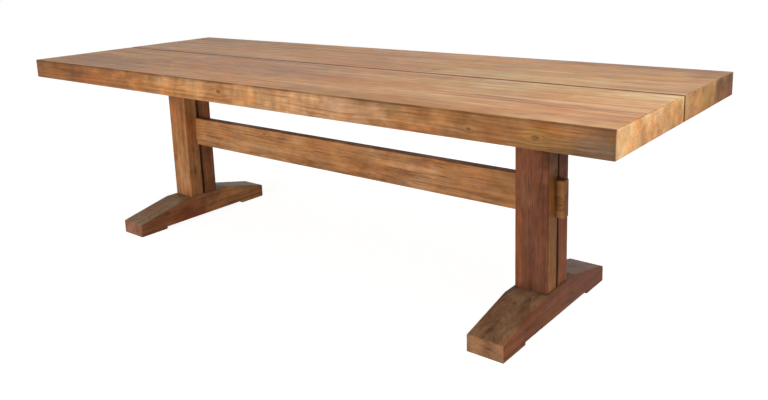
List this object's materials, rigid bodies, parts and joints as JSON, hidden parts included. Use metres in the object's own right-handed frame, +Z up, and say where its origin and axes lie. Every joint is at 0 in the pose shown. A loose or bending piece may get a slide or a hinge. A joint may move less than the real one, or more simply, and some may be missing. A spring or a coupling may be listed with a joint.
{
  "type": "trestle dining table",
  "caption": "Trestle dining table in oiled wood: thick plank top with an open joint, split posts on sled feet, and a stretcher board housed through the posts.",
  "frame": {"origin": "on the floor, below the middle of the top", "axes": "+X along the length of the top, +Y across it towards the rear, +Z up from the floor"},
  "size_m": [2.7, 0.97, 0.78],
  "materials": {
    "plank_wood": "oiled, matte",
    "foot_wood": "oiled, matte",
    "bearer_wood": "oiled, matte",
    "post_wood": "oiled, matte",
    "stretcher_wood": "oiled, matte",
    "dowel_wood": "plain",
    "screw_steel": "zinc plated",
    "washer_steel": "zinc plated"
  },
  "bodies": {
    "root": {"top_plank_front": "plank_wood", "top_plank_rear": "plank_wood", "foot_left": "foot_wood", "foot_right": "foot_wood", "bearer_left": "bearer_wood", "bearer_right": "bearer_wood", "post_left_front": "post_wood", "post_left_rear": "post_wood", "post_right_front": "post_wood", "post_right_rear": "post_wood", "stretcher": "stretcher_wood", "centre_batten": "bearer_wood", "stretcher_dowels_left": "dowel_wood", "stretcher_dowels_right": "dowel_wood", "bearer_screws_left": "screw_steel", "bearer_screws_right": "screw_steel", "batten_screws": "screw_steel", "bearer_washers_left": "washer_steel", "bearer_washers_right": "washer_steel", "batten_washers": "washer_steel"}
  },
  "joints": []
}
